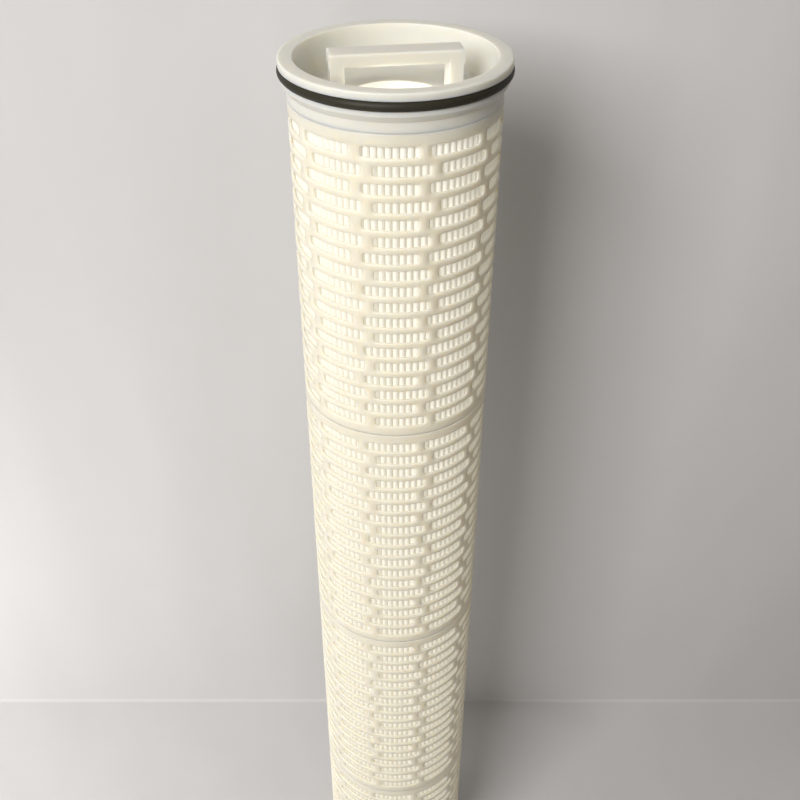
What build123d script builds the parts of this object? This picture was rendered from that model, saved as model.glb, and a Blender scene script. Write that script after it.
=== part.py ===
from build123d import *
import math
import os

# High-flow pleated filter cartridge, standing on its closed lower end cap.
# Frame: origin at the centre of the foot, +Z up the axis, handle along X. Millimetres.

# Outer cage: four equal welded modules, each a thin tube with rows of wide windows
cage_od = 152.0
cage_wall = 2.2
module_count = 4
module_length = 246.0
window_rows = 18
window_columns = 10
window_height = 7.6
window_angle = 30.0
window_stagger = 6.0
cage_turn = 10.0
weld_chamfer = 0.5

# Pleat pack: two support layers with the filter medium between them
pleats_per_column = 9
pleat_gap = 0.8
pleat_tip_share = 0.84
support_thickness = 0.35
medium_thickness = 0.30
valley_half_width = 0.2
layer_clearance = 0.3

# Inner core: perforated tube modules
core_bore = 88.0
core_wall = 2.5
core_slot_columns = 6
core_slot_rows = 3
core_slot_width = 12.0
core_slot_share = 0.72

# Top end cap
rim_od = 162.0
rim_height = 5.3
rim_round = 1.2
mouth_bore = 141.0
mouth_round = 0.8
cup_depth = 31.0
cup_draft = 1.0
cup_floor_round = 5.0
cup_floor = 3.0
throat_bore = 71.0
throat_wall = 3.0
throat_length = 12.0
lip_od = 159.0
lip_height = 3.0
lip_cone = 4.9
skirt_bottom = 28.0
plug_clearance = 0.2

# Seal ring in the groove of the top end cap
seal_section = 7.0
seal_stand_out = 0.8
groove_play = 0.3

# Carrying handle, moulded across the cup
handle_length = 93.5
handle_depth = 19.0
handle_rise = 3.0
handle_thickness = 9.5
handle_leg = 10.5
handle_overhang = 0.8
handle_round = 1.5
grip_round = 3.0

# Closed lower end cap
foot_height = 14.0
foot_floor = 4.0
foot_round = 2.0
spigot_wall = 3.0
spigot_height = 10.0

# Worked out from the sizes above
cage_r = cage_od / 2
cage_in_r = cage_r - cage_wall
row_pitch = module_length / (window_rows + 1)
column_pitch = 360 / window_columns
cage_bottom = foot_height
cage_top = cage_bottom + module_count * module_length
rim_top = cage_top + skirt_bottom
floor_top = rim_top - cup_depth
floor_under = floor_top - cup_floor
core_in_r = core_bore / 2
core_out_r = core_in_r + core_wall
spigot_r = core_in_r - plug_clearance
pleat_count = pleats_per_column * window_columns
tip_r = cage_in_r - pleat_gap
pack_thickness = 2 * support_thickness + medium_thickness
valley_r = core_out_r + layer_clearance + pack_thickness
pack_height = floor_under - foot_floor
groove_top = rim_top - rim_height
groove_bottom = groove_top - seal_section - groove_play
groove_r = rim_od / 2 + seal_stand_out - seal_section


def tube(outer_r, inner_r, height):
    """Straight tube standing on the XY plane."""
    return extrude(Circle(outer_r) - Circle(inner_r), height)


def sector(angle, inner_r, outer_r):
    """Flat ring sector centred on the X axis."""
    half = math.radians(angle / 2)
    far = outer_r / math.cos(half)
    corner = (far * math.cos(half), far * math.sin(half))
    wedge = make_face(Polyline((0, 0), (corner[0], -corner[1]), corner, close=True))
    return wedge - Circle(inner_r)


def window_turn(row):
    """Alternate rows lean half of the stagger to each side."""
    side = -1 if row % 2 else 1
    return cage_turn + side * window_stagger / 2


def cage_module():
    """One moulded cage module with its rows of windows."""
    shell = tube(cage_r, cage_in_r, module_length)
    rims = shell.edges().filter_by(GeomType.CIRCLE)
    shell = chamfer(rims.filter_by(lambda e: e.radius > cage_in_r + cage_wall / 2), weld_chamfer)
    window = extrude(sector(window_angle, cage_in_r / 2, cage_od), window_height)
    cutters = []
    for row in range(window_rows):
        level = (row + 1) * row_pitch - window_height / 2
        for column in range(window_columns):
            turn = window_turn(row) + column * column_pitch
            cutters.append(Pos(0, 0, level) * Rot(0, 0, turn) * window)
    return shell - cutters


def pleat_outline(depth):
    """Closed zigzag through the pack, at a depth below its outer surface."""
    pleat = 2 * math.pi / pleat_count
    tip_half = pleat_tip_share * pleat / 2 - depth / tip_r
    valley_half = (valley_half_width + depth) / valley_r
    points = []
    for index in range(pleat_count):
        middle = index * pleat + math.radians(cage_turn)
        corners = [
            (tip_r - depth, middle - tip_half),
            (tip_r - depth, middle + tip_half),
            (valley_r - depth, middle + pleat / 2 - valley_half),
            (valley_r - depth, middle + pleat / 2 + valley_half),
        ]
        for radius, angle in corners:
            points.append((radius * math.cos(angle), radius * math.sin(angle)))
    return make_face(Polyline(*points, close=True))


def pleated_layer(outer_depth, thickness):
    """One layer of the pleat pack, as high as the space between the end caps."""
    band = pleat_outline(outer_depth) - pleat_outline(outer_depth + thickness)
    return Pos(0, 0, foot_floor) * extrude(band, pack_height)


def core_module(length):
    """One module of the inner core with rows of upright slots."""
    shell = tube(core_out_r, core_in_r, length)
    slot_pitch = length / core_slot_rows
    slot_length = core_slot_share * slot_pitch
    slot = extrude(SlotOverall(slot_length, core_slot_width, rotation=90), core_out_r + core_wall)
    slot = Rot(0, 90, 0) * Rot(0, 0, 90) * slot
    cutters = []
    for row in range(core_slot_rows):
        for column in range(core_slot_columns):
            turn = column * 360 / core_slot_columns
            cutters.append(Pos(0, 0, (row + 0.5) * slot_pitch) * Rot(0, 0, turn) * slot)
    return shell - cutters


def cap_profile():
    """Half section of the top end cap, from the axis side outwards."""
    rim_r = rim_od / 2
    lip_r = lip_od / 2
    mouth_r = mouth_bore / 2
    wall_foot_r = mouth_r - cup_draft
    throat_r = throat_bore / 2
    plug_r = cage_in_r - plug_clearance
    throat_end = floor_under - throat_length
    lip_under = groove_bottom - lip_height
    points = [
        (throat_r, throat_end),
        (throat_r, floor_top),
        (wall_foot_r, floor_top),
        (mouth_r, rim_top),
        (rim_r, rim_top),
        (rim_r, groove_top),
        (groove_r, groove_top),
        (groove_r, groove_bottom),
        (lip_r, groove_bottom),
        (lip_r, lip_under),
        (cage_r, lip_under - lip_cone),
        (cage_r, cage_top),
        (plug_r, cage_top),
        (plug_r, floor_under),
        (spigot_r, floor_under),
        (spigot_r, floor_under - spigot_height),
        (spigot_r - spigot_wall, floor_under - spigot_height),
        (spigot_r - spigot_wall, floor_under),
        (throat_r + throat_wall, floor_under),
        (throat_r + throat_wall, throat_end),
    ]
    section = make_face(Polyline(*points, close=True))
    corners = section.vertices()
    at_floor = corners.sort_by_distance((wall_foot_r, floor_top, 0))[0]
    at_mouth = corners.sort_by_distance((mouth_r, rim_top, 0))[0]
    at_rim = corners.sort_by_distance((rim_r, rim_top, 0))[0]
    section = fillet(at_floor, cup_floor_round)
    section = fillet(section.vertices().sort_by_distance(at_mouth)[0], mouth_round)
    return fillet(section.vertices().sort_by_distance(at_rim)[0], rim_round)


def handle():
    """Bridge handle on two legs, its grip rounded along the lower edges."""
    underside = handle_rise - handle_thickness
    foot = -cup_depth - cup_floor / 2
    leg_length = handle_length - 2 * handle_overhang
    bar = Pos(0, 0, underside + handle_thickness / 2) * Box(handle_length, handle_depth, handle_thickness)
    bar = fillet(bar.edges().group_by(Axis.Z)[-1], handle_round)
    legs = Pos(0, 0, (underside + foot) / 2) * Box(leg_length, handle_depth, underside - foot)
    finger_room = Rectangle(2 * handle_depth, underside + grip_round - foot)
    finger_room = Pos(0, (underside + grip_round + foot) / 2) * finger_room
    grip = RectangleRounded(handle_depth, 2 * handle_thickness, grip_round)
    finger_room = finger_room - Pos(0, underside + handle_thickness) * grip
    gap = extrude(Plane.YZ * finger_room, handle_length / 2 - handle_leg, both=True)
    return Pos(0, 0, rim_top) * (bar + legs - gap)


def top_end_cap():
    """Rim, seal groove, cup, throat and handle in one moulding."""
    body = revolve(Plane.XZ * cap_profile(), Axis.Z)
    return body + handle()


def seal_ring():
    """Round-section ring resting on the lower side of its groove."""
    ring_r = groove_r + seal_section / 2
    section = Plane.XZ * Pos(ring_r, groove_bottom + seal_section / 2) * Circle(seal_section / 2)
    return revolve(section, Axis.Z)


def bottom_end_cap():
    """Closed cup that holds the lower end of the pleats and the core."""
    wall_in_r = cage_in_r - pleat_gap / 2
    points = [
        (0, 0),
        (cage_r, 0),
        (cage_r, foot_height),
        (wall_in_r, foot_height),
        (wall_in_r, foot_floor),
        (spigot_r, foot_floor),
        (spigot_r, foot_floor + spigot_height),
        (spigot_r - spigot_wall, foot_floor + spigot_height),
        (spigot_r - spigot_wall, foot_floor),
        (0, foot_floor),
    ]
    section = make_face(Polyline(*points, close=True))
    section = fillet(section.vertices().sort_by_distance((cage_r, 0, 0))[0], foot_round)
    return revolve(Plane.XZ * section, Axis.Z)


def save(shape, name):
    export_step(shape, "parts/" + name + ".step")


os.makedirs("parts", exist_ok=True)

save(top_end_cap(), "top_end_cap")
save(seal_ring(), "seal_ring")
save(bottom_end_cap(), "bottom_end_cap")

cage = cage_module()
for number in range(1, module_count + 1):
    level = cage_top - number * module_length
    save(Pos(0, 0, level) * cage, "outer_cage_" + str(number))

core_length = pack_height / module_count
core = core_module(core_length)
for number in range(1, module_count + 1):
    level = floor_under - number * core_length
    save(Pos(0, 0, level) * core, "inner_core_" + str(number))

save(pleated_layer(0, support_thickness), "outer_support_layer")
save(pleated_layer(support_thickness, medium_thickness), "filter_medium")
save(pleated_layer(support_thickness + medium_thickness, support_thickness), "inner_support_layer")
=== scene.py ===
import math

import bmesh
import bpy
from mathutils import Matrix, Vector, noise


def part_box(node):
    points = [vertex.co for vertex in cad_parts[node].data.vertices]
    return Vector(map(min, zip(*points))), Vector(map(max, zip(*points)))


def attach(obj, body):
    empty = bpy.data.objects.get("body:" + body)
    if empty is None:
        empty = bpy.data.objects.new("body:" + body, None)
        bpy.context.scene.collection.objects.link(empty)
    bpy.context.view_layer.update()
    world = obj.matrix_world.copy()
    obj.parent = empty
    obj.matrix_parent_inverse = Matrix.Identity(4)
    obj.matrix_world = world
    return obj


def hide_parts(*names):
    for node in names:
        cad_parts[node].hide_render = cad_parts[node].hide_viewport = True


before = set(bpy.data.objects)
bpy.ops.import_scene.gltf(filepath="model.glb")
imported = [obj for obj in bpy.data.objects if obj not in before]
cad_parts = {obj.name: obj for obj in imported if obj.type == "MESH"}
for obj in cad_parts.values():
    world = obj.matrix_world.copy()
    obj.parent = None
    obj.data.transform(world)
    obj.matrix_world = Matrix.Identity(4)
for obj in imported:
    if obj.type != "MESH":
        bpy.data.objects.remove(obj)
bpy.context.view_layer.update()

mm = 0.001

# Heights of the cartridge, read from the frame
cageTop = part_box("outer_cage_1")[1][2]
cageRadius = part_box("outer_cage_1")[1][0]
rimTop = cageTop + 28 * mm
print("frame loaded")


# Shader node groups

def newGroup(name, inputs, outputs):
    tree = bpy.data.node_groups.new(name, "ShaderNodeTree")
    for label, kind, value in inputs:
        socket = tree.interface.new_socket(name=label, in_out="INPUT", socket_type=kind)
        socket.default_value = value
    for label, kind in outputs:
        tree.interface.new_socket(name=label, in_out="OUTPUT", socket_type=kind)
    return tree, tree.nodes.new("NodeGroupInput"), tree.nodes.new("NodeGroupOutput")


def addNode(tree, kind, settings=None, **values):
    node = tree.nodes.new(kind)
    for key, value in (settings or {}).items():
        setattr(node, key, value)
    for key, value in values.items():
        node.inputs[key.replace("_", " ")].default_value = value
    return node


def link(tree, source, output, target, inlet):
    tree.links.new(source.outputs[output], target.inputs[inlet])


def mixColour(tree, blend="MIX"):
    return addNode(tree, "ShaderNodeMix", {"data_type": "RGBA", "blend_type": blend})


# Moulded plastic: cloudy colour, fine roughness and a slight ripple
def makeMouldedSurface():
    tree, inside, out = newGroup(
        "mouldedSurface",
        [
            ("Colour", "NodeSocketColor", (0.8, 0.8, 0.8, 1)),
            ("Shade", "NodeSocketColor", (0.7, 0.7, 0.7, 1)),
            ("Cloud Size", "NodeSocketFloat", 40.0),
            ("Cloud Amount", "NodeSocketFloat", 0.5),
            ("Roughness", "NodeSocketFloat", 0.4),
            ("Grain Size", "NodeSocketFloat", 900.0),
            ("Ripple Size", "NodeSocketFloat", 60.0),
            ("Bump", "NodeSocketFloat", 0.1),
        ],
        [("Colour", "NodeSocketColor"), ("Roughness", "NodeSocketFloat"), ("Normal", "NodeSocketVector")],
    )
    place = addNode(tree, "ShaderNodeTexCoord")
    cloud = addNode(tree, "ShaderNodeTexNoise", Detail=3.0, Roughness=0.55)
    link(tree, place, "Object", cloud, "Vector")
    link(tree, inside, "Cloud Size", cloud, "Scale")
    amount = addNode(tree, "ShaderNodeMath", {"operation": "MULTIPLY"})
    link(tree, cloud, "Fac", amount, 0)
    link(tree, inside, "Cloud Amount", amount, 1)
    tone = mixColour(tree)
    link(tree, amount, 0, tone, 0)
    tree.links.new(inside.outputs["Colour"], tone.inputs[6])
    tree.links.new(inside.outputs["Shade"], tone.inputs[7])
    tree.links.new(tone.outputs[2], out.inputs["Colour"])

    grain = addNode(tree, "ShaderNodeTexNoise", Detail=2.0)
    link(tree, place, "Object", grain, "Vector")
    link(tree, inside, "Grain Size", grain, "Scale")
    spread = addNode(tree, "ShaderNodeMapRange", To_Min=-0.08, To_Max=0.08)
    link(tree, grain, "Fac", spread, "Value")
    rough = addNode(tree, "ShaderNodeMath", {"operation": "ADD"})
    link(tree, inside, "Roughness", rough, 0)
    link(tree, spread, "Result", rough, 1)
    tree.links.new(rough.outputs[0], out.inputs["Roughness"])

    ripple = addNode(tree, "ShaderNodeTexNoise", Detail=1.0)
    link(tree, place, "Object", ripple, "Vector")
    link(tree, inside, "Ripple Size", ripple, "Scale")
    height = addNode(tree, "ShaderNodeMath", {"operation": "MULTIPLY_ADD"})
    height.inputs[1].default_value = 0.12
    link(tree, grain, "Fac", height, 0)
    link(tree, ripple, "Fac", height, 2)
    bump = addNode(tree, "ShaderNodeBump", Distance=0.0006)
    link(tree, inside, "Bump", bump, "Strength")
    link(tree, height, 0, bump, "Height")
    tree.links.new(bump.outputs[0], out.inputs["Normal"])
    return tree


# Nonwoven web: crossing fibre streaks at two scales over a soft felted ground
def makeWebSurface():
    tree, inside, out = newGroup(
        "webSurface",
        [
            ("Colour", "NodeSocketColor", (0.9, 0.9, 0.9, 1)),
            ("Shade", "NodeSocketColor", (0.8, 0.8, 0.8, 1)),
            ("Fibre Size", "NodeSocketFloat", 700.0),
            ("Felt Size", "NodeSocketFloat", 260.0),
            ("Bump", "NodeSocketFloat", 0.4),
        ],
        [("Colour", "NodeSocketColor"), ("Normal", "NodeSocketVector")],
    )
    place = addNode(tree, "ShaderNodeTexCoord")
    streaks = []
    for stretch in ((1.0, 1.0, 0.12), (0.25, 0.25, 1.0)):
        scale = addNode(tree, "ShaderNodeMapping")
        scale.inputs["Scale"].default_value = stretch
        link(tree, place, "Object", scale, "Vector")
        fibre = addNode(tree, "ShaderNodeTexNoise", Detail=4.0, Roughness=0.7, Distortion=1.5)
        link(tree, scale, "Vector", fibre, "Vector")
        link(tree, inside, "Fibre Size", fibre, "Scale")
        streaks.append(fibre)
    crossed = addNode(tree, "ShaderNodeMath", {"operation": "MAXIMUM"})
    link(tree, streaks[0], "Fac", crossed, 0)
    link(tree, streaks[1], "Fac", crossed, 1)
    felt = addNode(tree, "ShaderNodeTexNoise", Detail=2.0)
    link(tree, place, "Object", felt, "Vector")
    link(tree, inside, "Felt Size", felt, "Scale")
    height = addNode(tree, "ShaderNodeMath", {"operation": "ADD"})
    link(tree, crossed, 0, height, 0)
    link(tree, felt, "Fac", height, 1)
    contrast = addNode(tree, "ShaderNodeMapRange", From_Min=0.35, From_Max=0.8)
    link(tree, crossed, 0, contrast, "Value")
    tone = mixColour(tree)
    link(tree, contrast, "Result", tone, 0)
    tree.links.new(inside.outputs["Shade"], tone.inputs[6])
    tree.links.new(inside.outputs["Colour"], tone.inputs[7])
    tree.links.new(tone.outputs[2], out.inputs["Colour"])
    bump = addNode(tree, "ShaderNodeBump", Distance=0.0004)
    link(tree, inside, "Bump", bump, "Strength")
    link(tree, height, 0, bump, "Height")
    tree.links.new(bump.outputs[0], out.inputs["Normal"])
    return tree


mouldedSurface = makeMouldedSurface()
webSurface = makeWebSurface()


def newMaterial(name):
    material = bpy.data.materials.new(name)
    material.use_nodes = True
    tree = material.node_tree
    return material, tree, tree.nodes["Principled BSDF"]


def useGroup(tree, group, **values):
    node = tree.nodes.new("ShaderNodeGroup")
    node.node_tree = group
    for key, value in values.items():
        node.inputs[key.replace("_", " ")].default_value = value
    return node


def paint(piece, material):
    piece.data.materials.clear()
    piece.data.materials.append(material)


# Materials

cagePlasticLook = {
    "colour": (0.73, 0.695, 0.61, 1),
    "shade": (0.65, 0.615, 0.53, 1),
    "roughness": 0.45,
    "scatter": 1.0,
    "scatterDepth": 0.007,
    # Emission strength: painted glow that lightens the cage's shaded sides
    "paintedGlow": 0.035,
    "clear": 0.65,
}
capPlasticLook = {
    "colour": (0.70, 0.69, 0.635, 1),
    "shade": (0.63, 0.62, 0.56, 1),
    "roughness": 0.42,
    "scatter": 1.0,
    "scatterDepth": 0.009,
    # Emission strength: painted glow that lightens the cap's shaded sides
    "paintedGlow": 0.02,
    "clear": 0.35,
}


def makePlastic(name, look, **surface):
    material, tree, shader = newMaterial(name)
    group = useGroup(tree, mouldedSurface, Colour=look["colour"], Shade=look["shade"], **surface)
    group.inputs["Roughness"].default_value = look["roughness"]
    link(tree, group, "Colour", shader, "Base Color")
    link(tree, group, "Roughness", shader, "Roughness")
    link(tree, group, "Normal", shader, "Normal")
    shader.inputs["Subsurface Weight"].default_value = look["scatter"]
    shader.inputs["Subsurface Radius"].default_value = (1.0, 0.85, 0.6)
    shader.inputs["Subsurface Scale"].default_value = look["scatterDepth"]
    shader.inputs["IOR"].default_value = 1.49
    shader.inputs["Specular IOR Level"].default_value = 0.3
    # Painted glow: the plastic emits its own colour, which lightens its shaded sides in place of light carried through
    # the clear plastic
    link(tree, group, "Colour", shader, "Emission Color")
    shader.inputs["Emission Strength"].default_value = look["paintedGlow"]
    # Part of a lamp's light goes straight through, so the shadows inside stay soft
    path = addNode(tree, "ShaderNodeLightPath")
    share = addNode(tree, "ShaderNodeMath", {"operation": "MULTIPLY"})
    share.inputs[1].default_value = look["clear"]
    link(tree, path, "Is Shadow Ray", share, 0)
    clear = addNode(tree, "ShaderNodeBsdfTransparent")
    both = addNode(tree, "ShaderNodeMixShader")
    tree.links.new(share.outputs[0], both.inputs[0])
    link(tree, shader, "BSDF", both, 1)
    link(tree, clear, "BSDF", both, 2)
    tree.links.new(both.outputs[0], tree.nodes["Material Output"].inputs["Surface"])
    return material


cagePlastic = makePlastic("cagePlastic", cagePlasticLook, Cloud_Size=45.0, Cloud_Amount=1.0, Ripple_Size=45.0, Bump=0.35)
capPlastic = makePlastic("capPlastic", capPlasticLook, Cloud_Size=25.0, Ripple_Size=30.0, Bump=0.2)
corePlastic = makePlastic("corePlastic", cagePlasticLook, Cloud_Size=40.0, Ripple_Size=60.0, Bump=0.2)

rubberLook = {"colour": (0.026, 0.023, 0.015, 1), "shade": (0.042, 0.038, 0.026, 1), "roughness": 0.5, "specular": 0.2}


def makeRubber():
    material, tree, shader = newMaterial("sealRubber")
    group = useGroup(tree, mouldedSurface, Colour=rubberLook["colour"], Shade=rubberLook["shade"],
                     Cloud_Size=120.0, Cloud_Amount=0.6, Grain_Size=1800.0, Bump=0.15)
    group.inputs["Roughness"].default_value = rubberLook["roughness"]
    shader.inputs["Specular IOR Level"].default_value = rubberLook["specular"]
    link(tree, group, "Colour", shader, "Base Color")
    link(tree, group, "Roughness", shader, "Roughness")
    link(tree, group, "Normal", shader, "Normal")
    return material


webLook = {
    "colour": (0.95, 0.935, 0.88, 1),
    "shade": (0.88, 0.86, 0.795, 1),
    "translucent": 0.4,
    # Emission strength: painted glow that brightens the webs between the pleats and on the shaded side
    "paintedGlow": 0.19,
}


def makeWeb(name, look, **surface):
    material, tree, shader = newMaterial(name)
    group = useGroup(tree, webSurface, Colour=look["colour"], Shade=look["shade"], **surface)
    link(tree, group, "Colour", shader, "Base Color")
    link(tree, group, "Normal", shader, "Normal")
    shader.inputs["Roughness"].default_value = 0.8
    shader.inputs["Sheen Weight"].default_value = 0.15
    # Painted glow: the web emits its own colour, which brightens it between the pleats in place of light carried inside
    # the pack
    link(tree, group, "Colour", shader, "Emission Color")
    shader.inputs["Emission Strength"].default_value = look["paintedGlow"]
    through = addNode(tree, "ShaderNodeBsdfTranslucent")
    link(tree, group, "Colour", through, "Color")
    link(tree, group, "Normal", through, "Normal")
    both = addNode(tree, "ShaderNodeMixShader")
    both.inputs[0].default_value = look["translucent"]
    link(tree, shader, "BSDF", both, 1)
    link(tree, through, "BSDF", both, 2)
    tree.links.new(both.outputs[0], tree.nodes["Material Output"].inputs["Surface"])
    return material


sealRubber = makeRubber()
supportWeb = makeWeb("supportWeb", webLook, Fibre_Size=900.0, Felt_Size=300.0, Bump=0.5)
filterWeb = makeWeb("filterWeb", webLook, Fibre_Size=2200.0, Felt_Size=500.0, Bump=0.2)
print("materials made")


# Outer cage: one patterned grid per module, with rounded windows and a weld bead

cage = {
    "modules": 4,
    "rows": 18,
    "columns": 10,
    "wall": 2.2 * mm,
    "windowHeight": 7.6 * mm,
    "windowAngle": 30.0,
    "stagger": 6.0,
    "turn": 10.0,
    "stepAngle": 3.0,
    "sideSteps": 4,
    "windowRound": 1.6 * mm,
    "edgeRound": 0.8 * mm,
    "beadHeight": 1.6 * mm,
    "beadRise": 0.15 * mm,
}


def windowOutline(width, height, rounding, wideSteps, sideSteps):
    # Points run round the window from its lower left corner, matched to the cell's edge
    cell = []
    for i in range(wideSteps):
        cell.append((i / wideSteps, 0.0))
    for i in range(sideSteps):
        cell.append((1.0, i / sideSteps))
    for i in range(wideSteps):
        cell.append((1.0 - i / wideSteps, 1.0))
    for i in range(sideSteps):
        cell.append((0.0, 1.0 - i / sideSteps))
    outline = []
    halfW, halfH = width / 2, height / 2
    for s, t in cell:
        x, z = (s - 0.5) * width, (t - 0.5) * height
        cornerX = max(abs(x) - (halfW - rounding), 0.0)
        cornerZ = max(abs(z) - (halfH - rounding), 0.0)
        if cornerX > 0 and cornerZ > 0:
            length = math.hypot(cornerX, cornerZ)
            x = math.copysign(halfW - rounding + rounding * cornerX / length, x)
            z = math.copysign(halfH - rounding + rounding * cornerZ / length, z)
        outline.append((s, t, x, z))
    return outline


def cagePoint(radius, angle, height):
    return (radius * math.cos(angle), radius * math.sin(angle), height)


def joinLoops(mesh, loopA, loopB):
    count = len(loopA)
    for i in range(count):
        j = (i + 1) % count
        mesh.faces.new((loopA[i], loopA[j], loopB[j], loopB[i]))


def finishMesh(mesh, name, material, node):
    bmesh.ops.recalc_face_normals(mesh, faces=mesh.faces)
    data = bpy.data.meshes.new(name)
    mesh.to_mesh(data)
    mesh.free()
    data.shade_smooth()
    piece = bpy.data.objects.new(name, data)
    bpy.context.scene.collection.objects.link(piece)
    paint(piece, material)
    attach(piece, "root")
    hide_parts(node)
    return piece


def makeCageModule(number, low, high):
    pitch = (high - low) / (cage["rows"] + 1)
    column = math.radians(360 / cage["columns"])
    wideSteps = round(360 / cage["columns"] / cage["stepAngle"])
    outer, inner = cageRadius, cageRadius - cage["wall"]
    width = math.radians(cage["windowAngle"]) * outer
    rim = cage["edgeRound"]
    outline = windowOutline(width, cage["windowHeight"], cage["windowRound"], wideSteps, cage["sideSteps"])
    wider = windowOutline(width + 2 * rim, cage["windowHeight"] + 2 * rim, cage["windowRound"] + rim,
                          wideSteps, cage["sideSteps"])
    mesh = bmesh.new()
    shared = {}

    def at(radius, angle, height):
        key = (round(radius * 1e6), round(math.degrees(angle) * 1e3) % 360000, round(height * 1e6))
        if key not in shared:
            shared[key] = mesh.verts.new(cagePoint(radius, angle, height))
        return shared[key]

    for row in range(cage["rows"]):
        middle = low + (row + 1) * pitch
        lean = (-1 if row % 2 else 1) * cage["stagger"] / 2
        for c in range(cage["columns"]):
            centre = math.radians(cage["turn"] + lean) + c * column
            cellOut, cellIn, faceOut, faceIn, sideOut, sideIn = [], [], [], [], [], []
            for (s, t, x, z), (_, _, wx, wz) in zip(outline, wider):
                angle = centre + (s - 0.5) * column
                height = middle + (t - 0.5) * pitch
                cellOut.append(at(outer, angle, height))
                cellIn.append(at(inner, angle, height))
                faceOut.append(mesh.verts.new(cagePoint(outer, centre + wx / outer, middle + wz)))
                sideOut.append(mesh.verts.new(cagePoint(outer - rim, centre + x / outer, middle + z)))
                sideIn.append(mesh.verts.new(cagePoint(inner + rim, centre + x / outer, middle + z)))
                faceIn.append(mesh.verts.new(cagePoint(inner, centre + wx / outer, middle + wz)))
            joinLoops(mesh, cellOut, faceOut)
            joinLoops(mesh, faceOut, sideOut)
            joinLoops(mesh, sideOut, sideIn)
            joinLoops(mesh, sideIn, faceIn)
            joinLoops(mesh, faceIn, cellIn)

    steps = round(360 / cage["stepAngle"])
    bead = cage["beadHeight"]

    def band(levels):
        loops = []
        for radius, height in levels:
            loops.append([at(radius, math.radians(cage["turn"] + i * cage["stepAngle"]), height) for i in range(steps)])
        for a, b in zip(loops, loops[1:]):
            joinLoops(mesh, a, b)

    edge = cage["beadRise"]
    band([(outer, low + pitch / 2), (outer, low + bead), (outer - edge, low), (inner, low), (inner, low + pitch / 2)])
    band([(outer, high - pitch / 2), (outer, high - bead), (outer - edge, high), (inner, high), (inner, high - pitch / 2)])
    name = str(number)
    finishMesh(mesh, "cageModule" + name, cagePlastic, "outer_cage_" + name)


for number in range(1, cage["modules"] + 1):
    lowest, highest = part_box("outer_cage_" + str(number))
    makeCageModule(number, lowest[2], highest[2])
print("cage modules made")


# Pleat pack: three nested webs in rounded folds that wander a little along their height

pleats = {
    "count": 90,
    "turn": 10.0,
    "tipShare": 0.84,
    "press": 0.4 * mm,
    "valleyHalf": 0.25 * mm,
    "valleyRadius": 47.9 * mm,
    "wander": 0.22 * mm,
    "pulse": 0.25 * mm,
}
webs = {
    "outerWeb": {"node": "outer_support_layer", "slot": "support_web", "look": supportWeb,
                 "depths": (0.0, 0.35), "levels": (50, 20), "tipSteps": 6},
    "filterWeb": {"node": "filter_medium", "slot": "filter_web", "look": filterWeb,
                  "depths": (0.35, 0.65), "levels": (24, 24), "tipSteps": 4},
    "innerWeb": {"node": "inner_support_layer", "slot": "support_web", "look": supportWeb,
                 "depths": (0.65, 1.0), "levels": (24, 24), "tipSteps": 4},
}
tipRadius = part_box("outer_support_layer")[1][0] + pleats["press"]
pleatAngle = 2 * math.pi / pleats["count"]


def pleatSection(depth, tipSteps):
    # One fold as pairs of radius and sideways offset, from valley to valley
    half = pleats["tipShare"] * pleatAngle * tipRadius / 2 - depth
    valleyRadius = pleats["valleyRadius"]
    valley = pleatAngle * valleyRadius / 2 - pleats["valleyHalf"] - depth
    side = [(valleyRadius - depth, -valley), ((valleyRadius + tipRadius) / 2, -(half + valley) / 2)]
    crown = []
    for i in range(tipSteps + 1):
        angle = math.pi * i / tipSteps
        crown.append((tipRadius - depth - half + half * math.sin(angle), -half * math.cos(angle)))
    return side + crown + [(radius, -offset) for radius, offset in reversed(side)]


def foldPoint(index, radius, offset, height):
    # The crowns drift sideways and sink in and out, while the valleys stay in place
    outward = max(radius - pleats["valleyRadius"], 0.0) / (tipRadius - pleats["valleyRadius"])
    drift = noise.noise(Vector((index * 7.31, height * 9.0, 0.0))) * pleats["wander"]
    swell = noise.noise(Vector((index * 3.7, height * 14.0, 5.0))) * pleats["pulse"] / 2
    reach = radius - outward * (pleats["pulse"] / 2 + swell)
    turn = math.radians(pleats["turn"]) + index * pleatAngle + (offset + drift * outward) / radius
    return cagePoint(reach, turn, height)


def makeWebPiece(name, web):
    low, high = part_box(web["node"])
    mesh = bmesh.new()
    ends = []
    for depth, levels in zip(web["depths"], web["levels"]):
        section = pleatSection(depth * mm, web["tipSteps"])
        loops = []
        for level in range(levels + 1):
            height = low[2] + (high[2] - low[2]) * level / levels
            loops.append([mesh.verts.new(foldPoint(index, radius, offset, height))
                          for index in range(pleats["count"]) for radius, offset in section])
        for lower, upper in zip(loops, loops[1:]):
            joinLoops(mesh, lower, upper)
        ends.append((loops[0], loops[-1]))
    for outside, inside in zip(*ends):
        joinLoops(mesh, outside, inside)
    finishMesh(mesh, name, web["look"], web["node"])


for name, web in webs.items():
    makeWebPiece(name, web)
print("pleat pack made")


# Pieces that keep their shape from the frame

carried = {
    "top_end_cap": capPlastic,
    "bottom_end_cap": capPlastic,
    "seal_ring": sealRubber,
    "inner_core_1": corePlastic,
    "inner_core_2": corePlastic,
    "inner_core_3": corePlastic,
    "inner_core_4": corePlastic,
}

for node, material in carried.items():
    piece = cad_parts[node]
    paint(piece, material)
print("frame pieces painted")


# Backdrop: pale sheet that falls behind the cartridge and lies under it

backdrop = {
    "wallDistance": 0.235,
    "bend": 0.004,
    "width": 5.0,
    "depth": 2.6,
    "height": 2.2,
    "colour": (0.61, 0.603, 0.607, 1),
    "shade": (0.565, 0.558, 0.56, 1),
    "foldHeight": 0.003,
    "creases": 0.35,
}

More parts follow.
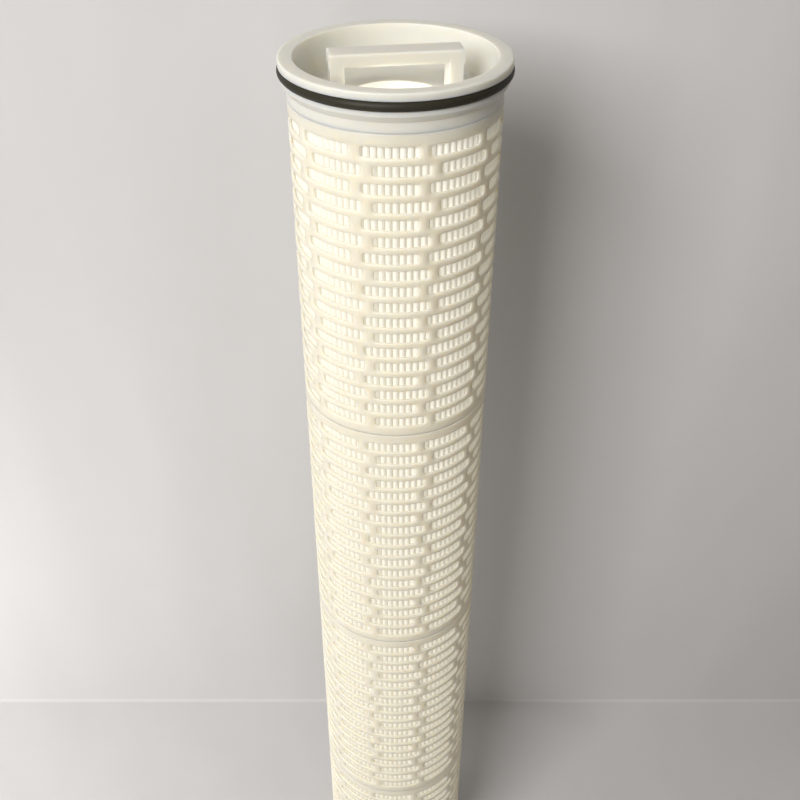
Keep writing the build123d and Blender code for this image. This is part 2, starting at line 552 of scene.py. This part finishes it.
view = {
    "turn": 8.16,
    "distance": 0.6821,
    "above": 0.2102,
    "pitch": 36.51,
    "focalPixels": 986.94,
    "axisPixel": 395.48,
    "frame": 800,
}
viewTurn = math.radians(view["turn"])
sight = Vector((math.sin(viewTurn), math.cos(viewTurn), 0))
across = Vector((math.cos(viewTurn), -math.sin(viewTurn), 0))


def makeBackdrop():
    mesh = bmesh.new()
    bend = backdrop["bend"]
    profile = [(-backdrop["depth"], 0.0)]
    for i in range(1, 13):
        profile.append((-backdrop["depth"] + (backdrop["depth"] + backdrop["wallDistance"] - bend) * i / 12, 0.0))
    for i in range(1, 9):
        angle = math.pi / 2 * i / 8
        profile.append((backdrop["wallDistance"] - bend + bend * math.sin(angle), bend - bend * math.cos(angle)))
    for i in range(1, 25):
        profile.append((backdrop["wallDistance"], bend + (backdrop["height"] - bend) * i / 24))
    columns = 260
    grid = []
    for away, height in profile:
        line = []
        for c in range(columns + 1):
            side = (c / columns - 0.5) * backdrop["width"]
            fold = 0.0
            if height > 0.05:
                fold = noise.noise(Vector((side * 9.0, height * 1.2, 3.0))) * backdrop["foldHeight"]
                fold += noise.noise(Vector((side * 24.0 + height * 3.0, height * 2.5, 8.0))) * backdrop["foldHeight"] / 3
            place = sight * (away + fold) + across * side
            line.append(mesh.verts.new((place.x, place.y, height)))
        grid.append(line)
    for a, b in zip(grid, grid[1:]):
        for i in range(columns):
            mesh.faces.new((a[i], a[i + 1], b[i + 1], b[i]))
    data = bpy.data.meshes.new("backdrop")
    mesh.to_mesh(data)
    mesh.free()
    data.shade_smooth()
    sheet = bpy.data.objects.new("backdrop", data)
    bpy.context.scene.collection.objects.link(sheet)
    material, tree, shader = newMaterial("backdropSheet")
    group = useGroup(tree, mouldedSurface, Colour=backdrop["colour"], Shade=backdrop["shade"],
                     Cloud_Size=6.0, Cloud_Amount=0.6, Ripple_Size=14.0, Bump=0.3)
    link(tree, group, "Colour", shader, "Base Color")
    shader.inputs["Roughness"].default_value = 0.85
    # Creases of the hung sheet, drawn out upwards
    place = addNode(tree, "ShaderNodeTexCoord")
    hang = addNode(tree, "ShaderNodeMapping")
    hang.inputs["Scale"].default_value = (1.0, 1.0, 0.25)
    crease = addNode(tree, "ShaderNodeTexNoise", Scale=9.0, Detail=1.0, Distortion=0.3)
    bump = addNode(tree, "ShaderNodeBump", Strength=backdrop["creases"], Distance=0.01)
    link(tree, place, "Object", hang, "Vector")
    link(tree, hang, "Vector", crease, "Vector")
    link(tree, crease, "Fac", bump, "Height")
    link(tree, group, "Normal", bump, "Normal")
    link(tree, bump, "Normal", shader, "Normal")
    # Seen from behind, the sheet doesn't hide the cartridge
    sides = addNode(tree, "ShaderNodeNewGeometry")
    clear = addNode(tree, "ShaderNodeBsdfTransparent")
    both = addNode(tree, "ShaderNodeMixShader")
    link(tree, sides, "Backfacing", both, 0)
    link(tree, shader, "BSDF", both, 1)
    link(tree, clear, "BSDF", both, 2)
    tree.links.new(both.outputs[0], tree.nodes["Material Output"].inputs["Surface"])
    paint(sheet, material)


makeBackdrop()


# Light: a broad window on the left, a low lamp by the sheet, a weak fill and a pale room
# Places are metres to the right, away from the camera and up, from the cartridge's foot

lights = {
    "key": {"power": 46.0, "size": (0.95, 0.95), "place": (-0.83, -1.5, 1.9), "aim": (0.0, 0.0, 0.8), "colour": (1.0, 0.985, 0.965)},
    "low": {"power": 2.6, "spread": 140, "size": (0.5, 0.5), "place": (-1.0, -0.25, 0.35), "aim": (-0.5, 0.25, 0.15), "colour": (1.0, 0.985, 0.965)},
    "fill": {"power": 0.7, "size": (1.6, 1.2), "place": (0.5, -1.3, 2.0), "aim": (0.0, 0.0, 0.8), "colour": (1.0, 0.94, 0.82)},
}
room = {"colour": (1.0, 0.88, 0.66, 1), "strength": 0.07}


def addLight(name, values):
    data = bpy.data.lights.new(name, "AREA")
    data.shape = "RECTANGLE"
    data.size, data.size_y = values["size"]
    data.energy = values["power"]
    data.spread = math.radians(values.get("spread", 180))
    data.color = values["colour"]
    lamp = bpy.data.objects.new(name, data)
    bpy.context.scene.collection.objects.link(lamp)
    place, aim = (across * p[0] + sight * p[1] + Vector((0, 0, p[2])) for p in (values["place"], values["aim"]))
    lamp.location = place
    lamp.rotation_euler = (aim - place).to_track_quat("-Z", "Y").to_euler()


for name, values in lights.items():
    addLight(name, values)

# A small hidden lamp stands for the light that soaks through the wall into the bore
boreLamp = {"power": 0.08, "radius": 0.012, "depth": 0.06, "colour": (1.0, 0.97, 0.91)}


def addBoreLamp():
    data = bpy.data.lights.new("boreLamp", "POINT")
    data.energy = boreLamp["power"]
    data.color = boreLamp["colour"]
    data.shadow_soft_size = boreLamp["radius"]
    lamp = bpy.data.objects.new("boreLamp", data)
    bpy.context.scene.collection.objects.link(lamp)
    lamp.location = (0, 0, rimTop - boreLamp["depth"])
    lamp.visible_camera = False


addBoreLamp()

world = bpy.data.worlds.new("room")
bpy.context.scene.world = world
world.use_nodes = True
world.node_tree.nodes["Background"].inputs["Color"].default_value = room["colour"]
world.node_tree.nodes["Background"].inputs["Strength"].default_value = room["strength"]
bpy.context.scene.view_settings.view_transform = "Standard"


# Camera at the photograph's viewing angle

def addCamera():
    data = bpy.data.cameras.new("camera")
    data.sensor_width = 36.0
    data.lens = view["focalPixels"] / view["frame"] * data.sensor_width
    data.shift_x = (view["frame"] / 2 - view["axisPixel"]) / view["frame"]
    camera = bpy.data.objects.new("camera", data)
    bpy.context.scene.collection.objects.link(camera)
    camera.location = -sight * view["distance"] + Vector((0, 0, rimTop + view["above"]))
    pitch = math.radians(view["pitch"])
    aim = sight * math.cos(pitch) - Vector((0, 0, math.sin(pitch)))
    camera.rotation_euler = aim.to_track_quat("-Z", "Y").to_euler()
    bpy.context.scene.camera = camera


addCamera()
print("stage, light and camera made")
